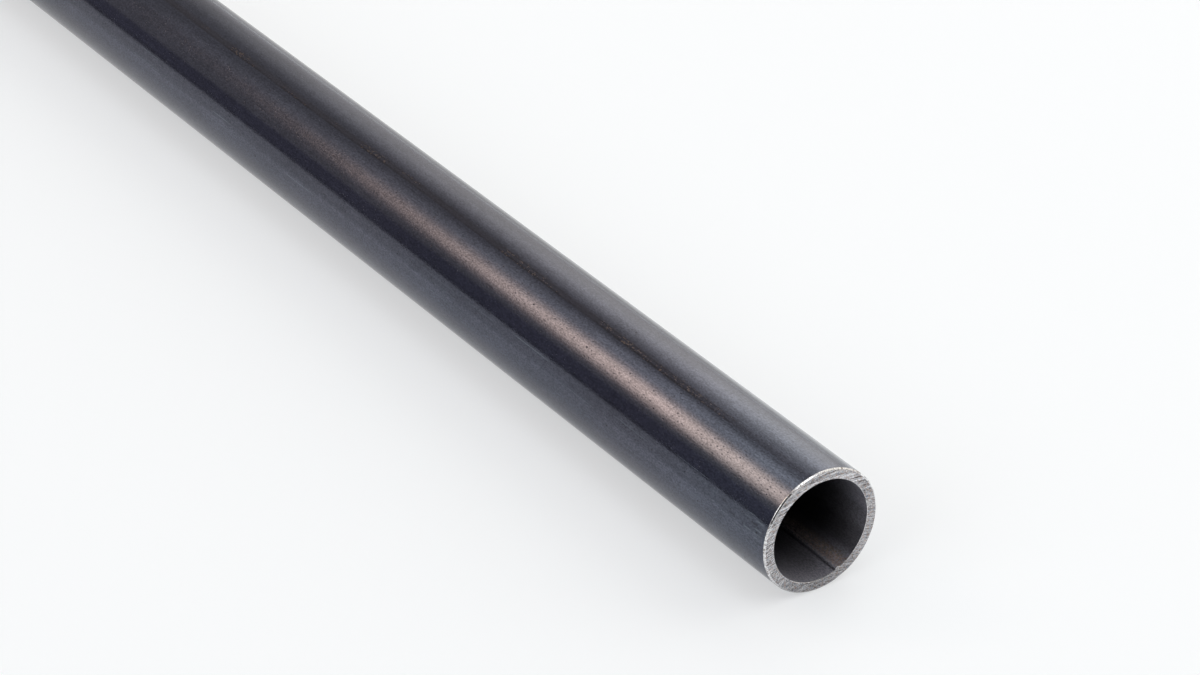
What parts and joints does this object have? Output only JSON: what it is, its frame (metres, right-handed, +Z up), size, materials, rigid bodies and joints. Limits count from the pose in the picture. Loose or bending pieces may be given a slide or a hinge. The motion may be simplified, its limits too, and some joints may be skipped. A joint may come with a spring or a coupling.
{
  "type": "scaffold tube",
  "caption": "Straight round steel scaffold tube with a longitudinal weld seam, plain sawn ends and an open bore, lying on its side.",
  "frame": {"origin": "on the tube's axis, half way along its length", "axes": "+X along the tube's axis, towards the sawn end that the picture shows; +Z up as the tube lies on the floor; +Y to the right of the axis when the near end is seen from +X"},
  "size_m": [1, 0.0483, 0.0482],
  "materials": {
    "mill_scale_steel": "blue-grey mill scale, half gloss, with fine lines along the tube; the sawn ends are bare bright steel"
  },
  "bodies": {
    "root": {"tube": "mill_scale_steel"}
  },
  "joints": []
}
